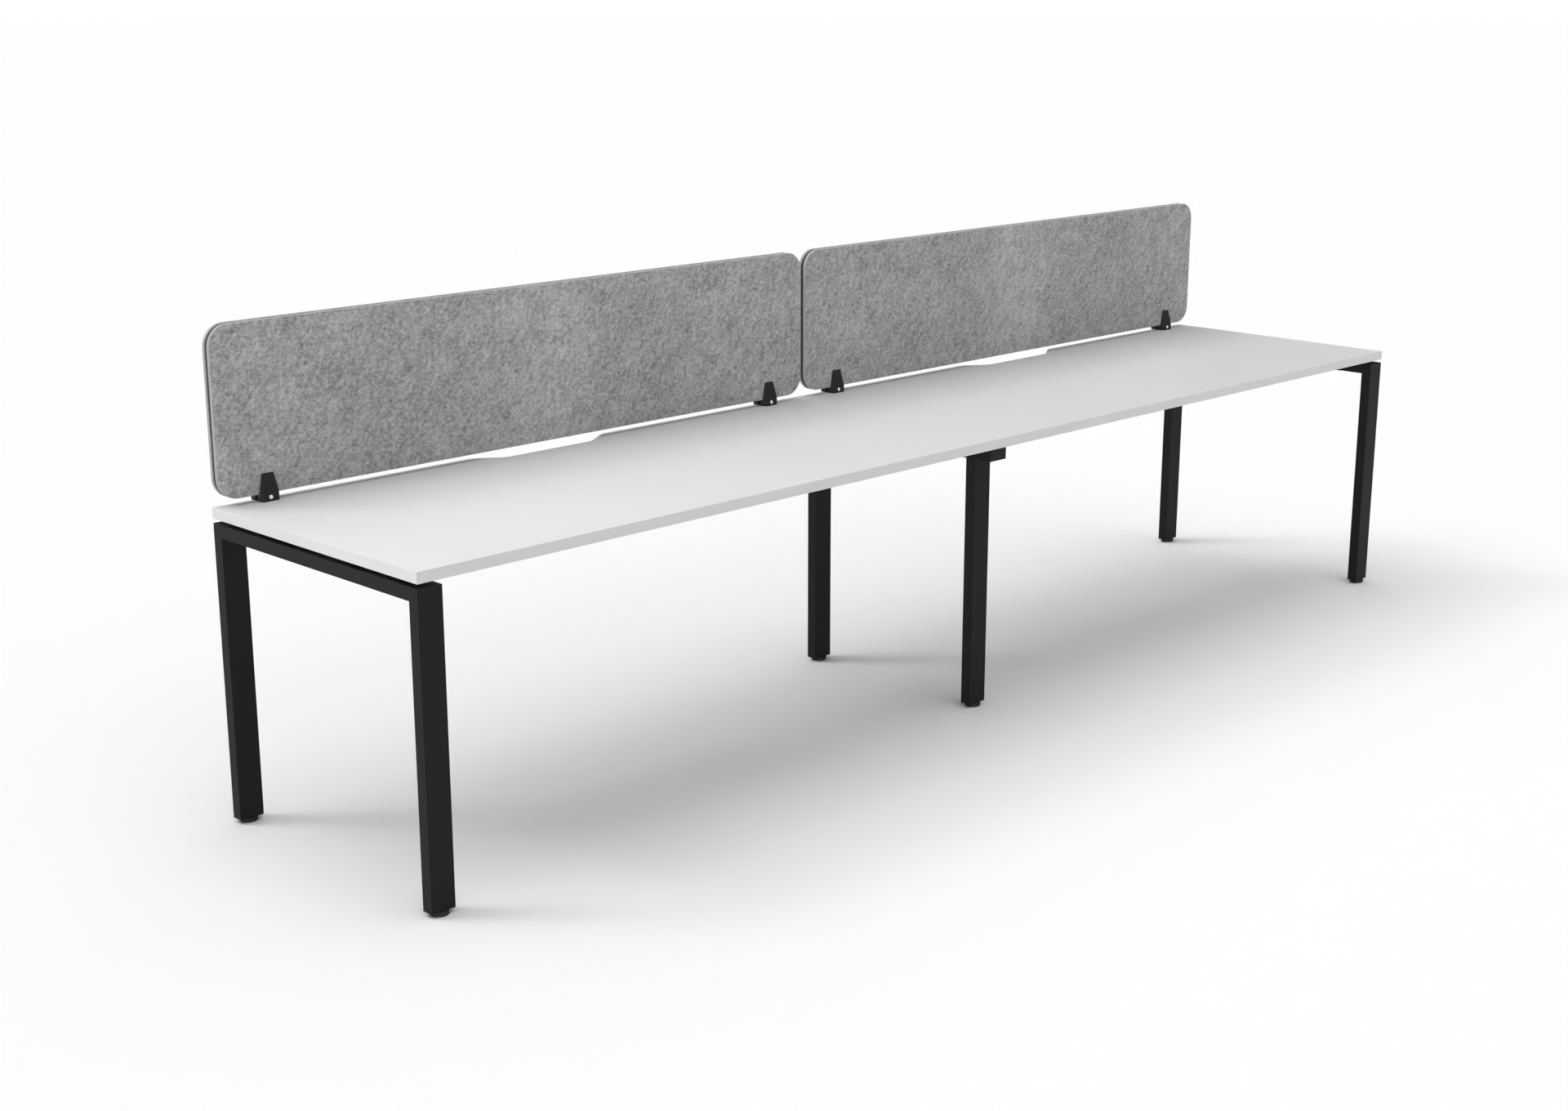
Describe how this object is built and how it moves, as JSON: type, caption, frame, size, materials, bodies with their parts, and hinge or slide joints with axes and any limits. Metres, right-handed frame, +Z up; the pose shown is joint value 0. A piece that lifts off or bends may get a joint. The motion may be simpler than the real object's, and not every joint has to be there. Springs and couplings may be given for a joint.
{
  "type": "single-sided bench workstation",
  "caption": "Single-sided bench workstation: white worktops with cable scallops on black portal leg frames, with grey felt desk screens in clamp brackets.",
  "frame": {"origin": "on the floor, in the middle of the footprint", "axes": "+X along the desk from the left seat to the right seat, +Y from the seats to the screens, +Z up"},
  "size_m": [3.6, 0.765, 1.13],
  "materials": {
    "melamine_white": "matt white melamine",
    "edge_band_white": "matt white plastic edging",
    "frame_black": "fine matt black powder coat",
    "plastic_black": "matt black moulded plastic",
    "steel_zinc": "bright zinc plate",
    "felt_grey": "mottled grey pressed felt",
    "core_dark": "dark pressed fibre board"
  },
  "bodies": {
    "desk": {"bracket_bridges": "plastic_black", "bracket_clamp_nuts": "steel_zinc", "bracket_clamp_screws": "steel_zinc", "bracket_fixing_screws": "steel_zinc", "centre_crossbar": "frame_black", "centre_crossbar_front_cap": "plastic_black", "centre_crossbar_rear_cap": "plastic_black", "centre_front_leg": "frame_black", "centre_rear_leg": "frame_black", "left_crossbar": "frame_black", "left_front_leg": "frame_black", "left_front_rail": "frame_black", "left_inner_bracket_front": "plastic_black", "left_inner_bracket_rear": "plastic_black", "left_outer_bracket_front": "plastic_black", "left_outer_bracket_rear": "plastic_black", "left_rear_leg": "frame_black", "left_rear_rail": "frame_black", "left_screen_core": "core_dark", "left_screen_front_felt": "felt_grey", "left_screen_rear_felt": "felt_grey", "leg_inserts": "plastic_black", "rail_bolts": "steel_zinc", "rail_end_plates": "frame_black", "rail_rivet_nuts": "steel_zinc", "rail_screws": "steel_zinc", "right_crossbar": "frame_black", "right_front_leg": "frame_black", "right_front_rail": "frame_black", "right_inner_bracket_front": "plastic_black", "right_inner_bracket_rear": "plastic_black", "right_outer_bracket_front": "plastic_black", "right_outer_bracket_rear": "plastic_black", "right_rear_leg": "frame_black", "right_rear_rail": "frame_black", "right_screen_core": "core_dark", "right_screen_front_felt": "felt_grey", "right_screen_rear_felt": "felt_grey", "spacer_screws": "steel_zinc", "worktop_left": "melamine_white", "worktop_left_edge_band": "edge_band_white", "worktop_right": "melamine_white", "worktop_right_edge_band": "edge_band_white", "worktop_spacers": "plastic_black"},
    "left_front_pad": {"left_front_foot_pad": "plastic_black"},
    "left_front_stem": {"left_front_foot_stem": "steel_zinc"},
    "left_rear_pad": {"left_rear_foot_pad": "plastic_black"},
    "left_rear_stem": {"left_rear_foot_stem": "steel_zinc"},
    "right_front_pad": {"right_front_foot_pad": "plastic_black"},
    "right_front_stem": {"right_front_foot_stem": "steel_zinc"},
    "right_rear_pad": {"right_rear_foot_pad": "plastic_black"},
    "right_rear_stem": {"right_rear_foot_stem": "steel_zinc"},
    "centre_front_pad": {"centre_front_foot_pad": "plastic_black"},
    "centre_front_stem": {"centre_front_foot_stem": "steel_zinc"},
    "centre_rear_pad": {"centre_rear_foot_pad": "plastic_black"},
    "centre_rear_stem": {"centre_rear_foot_stem": "steel_zinc"}
  },
  "joints": [
    {"name": "left_front_pad_level", "type": "slide", "parent": "desk", "child": "left_front_pad", "axis": [0, 0, -1], "range_m": [0, 0.015]},
    {"name": "left_front_stem_turn", "type": "hinge", "parent": "left_front_pad", "child": "left_front_stem", "pos_m": [-1.77, -0.3625, 0], "axis": [0, 0, 1], "range_deg": [0, 3600]},
    {"name": "left_rear_pad_level", "type": "slide", "parent": "desk", "child": "left_rear_pad", "axis": [0, 0, -1], "range_m": [0, 0.015]},
    {"name": "left_rear_stem_turn", "type": "hinge", "parent": "left_rear_pad", "child": "left_rear_stem", "pos_m": [-1.77, 0.3575, 0], "axis": [0, 0, 1], "range_deg": [0, 3600]},
    {"name": "right_front_pad_level", "type": "slide", "parent": "desk", "child": "right_front_pad", "axis": [0, 0, -1], "range_m": [0, 0.015]},
    {"name": "right_front_stem_turn", "type": "hinge", "parent": "right_front_pad", "child": "right_front_stem", "pos_m": [1.77, -0.3625, 0], "axis": [0, 0, 1], "range_deg": [0, 3600]},
    {"name": "right_rear_pad_level", "type": "slide", "parent": "desk", "child": "right_rear_pad", "axis": [0, 0, -1], "range_m": [0, 0.015]},
    {"name": "right_rear_stem_turn", "type": "hinge", "parent": "right_rear_pad", "child": "right_rear_stem", "pos_m": [1.77, 0.3575, 0], "axis": [0, 0, 1], "range_deg": [0, 3600]},
    {"name": "centre_front_pad_level", "type": "slide", "parent": "desk", "child": "centre_front_pad", "axis": [0, 0, -1], "range_m": [0, 0.015]},
    {"name": "centre_front_stem_turn", "type": "hinge", "parent": "centre_front_pad", "child": "centre_front_stem", "pos_m": [0, -0.2825, 0], "axis": [0, 0, 1], "range_deg": [0, 3600]},
    {"name": "centre_rear_pad_level", "type": "slide", "parent": "desk", "child": "centre_rear_pad", "axis": [0, 0, -1], "range_m": [0, 0.015]},
    {"name": "centre_rear_stem_turn", "type": "hinge", "parent": "centre_rear_pad", "child": "centre_rear_stem", "pos_m": [0, 0.2775, 0], "axis": [0, 0, 1], "range_deg": [0, 3600]}
  ],
  "couplings": [
    {"joint": "left_front_stem_turn", "follows": "left_front_pad_level", "rad_per_m": 4188.8},
    {"joint": "left_rear_stem_turn", "follows": "left_rear_pad_level", "rad_per_m": 4188.8},
    {"joint": "right_front_stem_turn", "follows": "right_front_pad_level", "rad_per_m": 4188.8},
    {"joint": "right_rear_stem_turn", "follows": "right_rear_pad_level", "rad_per_m": 4188.8},
    {"joint": "centre_front_stem_turn", "follows": "centre_front_pad_level", "rad_per_m": 4188.8},
    {"joint": "centre_rear_stem_turn", "follows": "centre_rear_pad_level", "rad_per_m": 4188.8}
  ]
}
